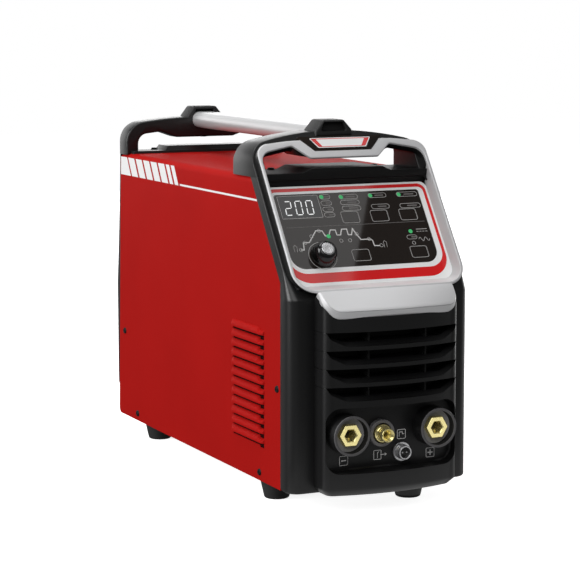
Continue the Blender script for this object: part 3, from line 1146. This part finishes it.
# ---------------------------------------------------------------- rear bezel
def build_rear():
    # frame: lofted upwards, hollow, with the window of the rear plate
    def prof_y(z):
        if z < 76:
            return 247 + (z - 56) * 0.2
        if z < 185:
            return 251.0
        return 251 - (z - 185) * (18 / 162.0)
    def loop(z, ins=0.0):
        yb = prof_y(z) - ins
        ys = rear_y(z) + 0.05
        r = min(9.0, max(2.0, (yb - ys) * 0.8))
        h = 102.5 - ins
        n = 7
        out = [(-h, ys)] + [(-h + r - r * math.cos(a), yb - r + r * math.sin(a)) for a in np.linspace(0, math.pi / 2, n)]
        out += [(-x, y) for x, y in reversed(out)]
        inn = [(97.0, ys), (97.0, 224.2), (86.0, 224.2), (86.0, yb - 3.0), (86.0, yb - 2.0), (-86.0, yb - 2.0), (-86.0, yb - 3.0), (-86.0, 224.2), (-97.0, 224.2), (-97.0, ys)]
        return [(x, y, z) for x, y in out], yb, ys
    # solid blank, then the window
    zs = [56.0, 56.8, 58.4, 61.0, 76.0, 120.0, 185.0, 190, 230.0, 300.0, 334.0, 341.0]
    ins = [4.0, 1.8, 0.5, 0, 0, 0, 0, 0, 0, 0, 0, 0]
    loops = [loop(z, i)[0] for z, i in zip(zs, ins)]
    ob = raw("rear_frame", *stitch(loops))
    W = rrect(0, 196, 172, 256, 16, 8)
    c = []
    for y, g in ((200, 0.0), (246.0, 0.0), (249.5, -1.2), (254, -3.5)):
        c.append([(x, y, z) for x, z in (offset(ccw(W), g) if g else ccw(W))])
    boolean(ob, [raw("c", *stitch(c))])
    own(ob, M["black"], rep=["rear_bezel"], angle=30)
    # sleeve between the plate and the frame
    P, Q = rrect(0, 196.5, 198, 279, 6, 6), rrect(0, 196, 172, 256, 16, 6)
    own(ring("rear_sleeve", ccw(P), ccw(Q), xz, 224.0, 240.0), M["black"], angle=30)
    # hoop
    P = ccw(np.array(hoop_outer(102.5, 385.0, 341.0, 24.0, 650.0) + hoop_inner(87.0, 367.5, 341.0, 12.0, 7.2, 37.0)))
    hoop_mesh("rear_hoop", P, lambda z: 208.0, 233.0, 2.4, 2.4)
    # cross member with its raised middle
    cm = box("rear_cross", (-97, 198.0, 336.0), (97, 232.6, 345.6))
    up = raw("up", *stitch([
        [(-56, 199.8, 341.0), (56, 199.8, 341.0), (56, 232.4, 341.0), (-56, 232.4, 341.0)],
        [(-56, 199.8, 345.5), (56, 199.8, 345.5), (56, 232.4, 345.5), (-56, 232.4, 345.5)],
        [(-52, 201.0, 350.8), (52, 201.0, 350.8), (52, 231.4, 350.8), (-52, 231.4, 350.8)]]))
    boolean(cm, [up], "UNION")
    tidy(cm)
    bevel(cm, 1.3, 3, 25)
    own(cm, M["black"], angle=30)


build_rear()


# ---------------------------------------------------------------- handle bar, feet
def build_handle():
    n = 12
    P = []
    w, t, zc = 34.0, 19.0, 380.8
    for a in np.linspace(-math.pi / 2, math.pi / 2, n):
        P.append(((w - t) / 2 + t / 2 * math.cos(a), zc + t / 2 * math.sin(a)))
    for a in np.linspace(math.pi / 2, 3 * math.pi / 2, n):
        P.append((-(w - t) / 2 + t / 2 * math.cos(a), zc + t / 2 * math.sin(a)))
    own(prism("handle_tube", P, xz, -117.5, 222.5), M["alu"], rep=["handle_bar"], angle=30)


build_handle()


def build_bolts():
    parts = []
    for y, z in ((-110.5, 359.5), (215.5, 360.0)):
        place = (lambda a, b, d, y=y, z=z: (a, y + b, z + d))
        parts.append(lathe("b", [(0, 0.5), (1.9, 0.5), (2.0, -0.2), (4.0, -0.1), (4.4, 0.3), (4.4, 2.6), (2.5, 2.7), (2.5, 15.0), (0, 15.0)], place, 40))
    own(join("bar_bolts", parts), M["black_steel"], rep=["handle_bolts"], angle=35)


build_bolts()


def build_feet():
    parts = []
    for x, y in ((-77, -158), (52, -212), (-75, 178), (75, 178)):
        place = (lambda a, b, d, x=x, y=y: (x + a, y + b, d))
        prof = soft_profile([(2.7, 9.0), (6.5, 9.0), (6.5, 0.0), (13.2, 0.0), (18.4, 22.95), (2.7, 22.95)], [0, 0.4, 0.8, 2.2, 0.9, 0], 4)
        parts.append(tube("f", prof, place, 64))
    own(join("feet_rubber", parts), M["rubber"], rep=["feet"], angle=35)


build_feet()

# ---------------------------------------------------------------- stage
def build_stage():
    fl = raw("floor", [(-6000, -6000, -0.2), (6000, -6000, -0.2), (6000, 6000, -0.2), (-6000, 6000, -0.2)], [(0, 1, 2, 3)])
    m = bpy.data.materials.new("floor")
    m.use_nodes = True
    nt = m.node_tree
    b = nt.nodes["Principled BSDF"]
    b.inputs["Roughness"].default_value = 0.9
    b.inputs["Specular IOR Level"].default_value = 0.1
    b.inputs["Emission Color"].default_value = (1, 1, 1, 1)
    b.inputs["Emission Strength"].default_value = 0.88
    no = nt.nodes.new("ShaderNodeTexNoise")
    no.inputs["Scale"].default_value = 3.0
    rp = nt.nodes.new("ShaderNodeValToRGB")
    rp.color_ramp.elements[0].color = (0.86, 0.86, 0.86, 1)
    rp.color_ramp.elements[1].color = (0.90, 0.90, 0.90, 1)
    nt.links.new(no.outputs["Fac"], rp.inputs["Fac"])
    nt.links.new(rp.outputs["Color"], b.inputs["Base Color"])
    fl.data.materials.append(m)
    fl.visible_diffuse = False
    fl.visible_glossy = False
    w = bpy.data.worlds.new("world")
    sc.world = w
    w.use_nodes = True
    nt = w.node_tree
    bg = nt.nodes["Background"]
    bg.inputs["Color"].default_value = (1, 1, 1, 1)
    bg.inputs["Strength"].default_value = 0.14
    bg2 = nt.nodes.new("ShaderNodeBackground")
    bg2.inputs["Color"].default_value = (1, 1, 1, 1)
    bg2.inputs["Strength"].default_value = 1.0
    lp = nt.nodes.new("ShaderNodeLightPath")
    mx = nt.nodes.new("ShaderNodeMixShader")
    nt.links.new(lp.outputs["Is Camera Ray"], mx.inputs["Fac"])
    nt.links.new(bg.outputs["Background"], mx.inputs[1])
    nt.links.new(bg2.outputs["Background"], mx.inputs[2])
    nt.links.new(mx.outputs["Shader"], nt.nodes["World Output"].inputs["Surface"])

    def area(name, loc, target, w, h, radiance):
        """Soft box of w by h metres that shines evenly at the given radiance."""
        l = bpy.data.lights.new(name, "AREA")
        l.shape = "RECTANGLE"
        l.size, l.size_y = w, h
        l.energy = radiance * math.pi * w * h
        o = bpy.data.objects.new(name, l)
        sc.collection.objects.link(o)
        o.location = loc
        o.rotation_mode = "QUATERNION"
        o.rotation_quaternion = (Vector(target) - Vector(loc)).to_track_quat("-Z", "Y")
        o.visible_camera = False
        return o
    area("key_left", (-2.6, 0.15, 1.15), (0, 0.05, 0.2), 1.6, 1.8, 7.2)
    area("top_back", (-0.2, 0.45, 2.4), (0, 0.0, 0.3), 1.6, 1.6, 3.0)
    area("front_left", (-1.3, -1.9, 1.9), (0, -0.2, 0.25), 2.0, 2.0, 2.2)
    area("back_wall", (0.6, 3.0, 0.75), (0, 0, 0.3), 5.2, 1.5, 1.5)
    area("back_right", (1.7, 2.9, 0.85), (0, 0, 0.3), 1.8, 1.4, 1.4)
    area("right_rim", (2.4, 0.9, 0.40), (0, -0.1, 0.2), 1.4, 1.2, 2.6)
    area("back_high", (0.2, 2.9, 1.95), (0, 0, 0.35), 2.2, 0.9, 0.5)
    area("floor_right", (0.85, -0.10, 0.004), (0.85, -0.10, 1.0), 1.0, 0.8, 0.55)
    area("floor_card", (0.05, -0.34, 0.003), (0.05, -0.34, 1.0), 0.5, 0.26, 0.42)
    # soft box whose edge shows as a sheen across the left half of the film
    sheen = area("sheen", (0.779, -0.989, 1.959), (0, 0, 0), 0.34, 0.40, 1.2)
    wv, ev, mv = Vector((0.861, -0.0045, -0.504)), Vector((0.207, 0.915, 0.346)), Vector((0.46, -0.40, 0.79))
    R = Matrix((wv.normalized(), ev.normalized(), mv.normalized())).transposed()
    sheen.rotation_quaternion = R.to_quaternion()
    # white card on the floor that only the bright metal of the sockets picks up
    card = area("metal_card", (0.20, -0.68, 0.004), (0.20, -0.68, 1.0), 0.60, 0.55, 1.0)
    metal = bpy.data.collections.new("bright_metal")
    for n in ("minus_insert", "plus_insert", "gas_nipple", "torch_plug_ring"):
        metal.objects.link(bpy.data.objects[n])
    card.light_linking.receiver_collection = metal

    cam = bpy.data.cameras.new("camera")
    cam.lens = 2052.0 / 580.0 * 36.0
    cam.sensor_width = 36.0
    cam.clip_start, cam.clip_end = 0.05, 50
    co = bpy.data.objects.new("camera", cam)
    sc.collection.objects.link(co)
    co.location = (-0.9835, -2.0869, 0.5146)
    yaw, pitch = math.radians(25.55), math.radians(7.82)
    F = Vector((math.sin(yaw) * math.cos(pitch), math.cos(yaw) * math.cos(pitch), -math.sin(pitch)))
    co.rotation_mode = "QUATERNION"
    co.rotation_quaternion = F.to_track_quat("-Z", "Y")
    sc.camera = co


build_stage()
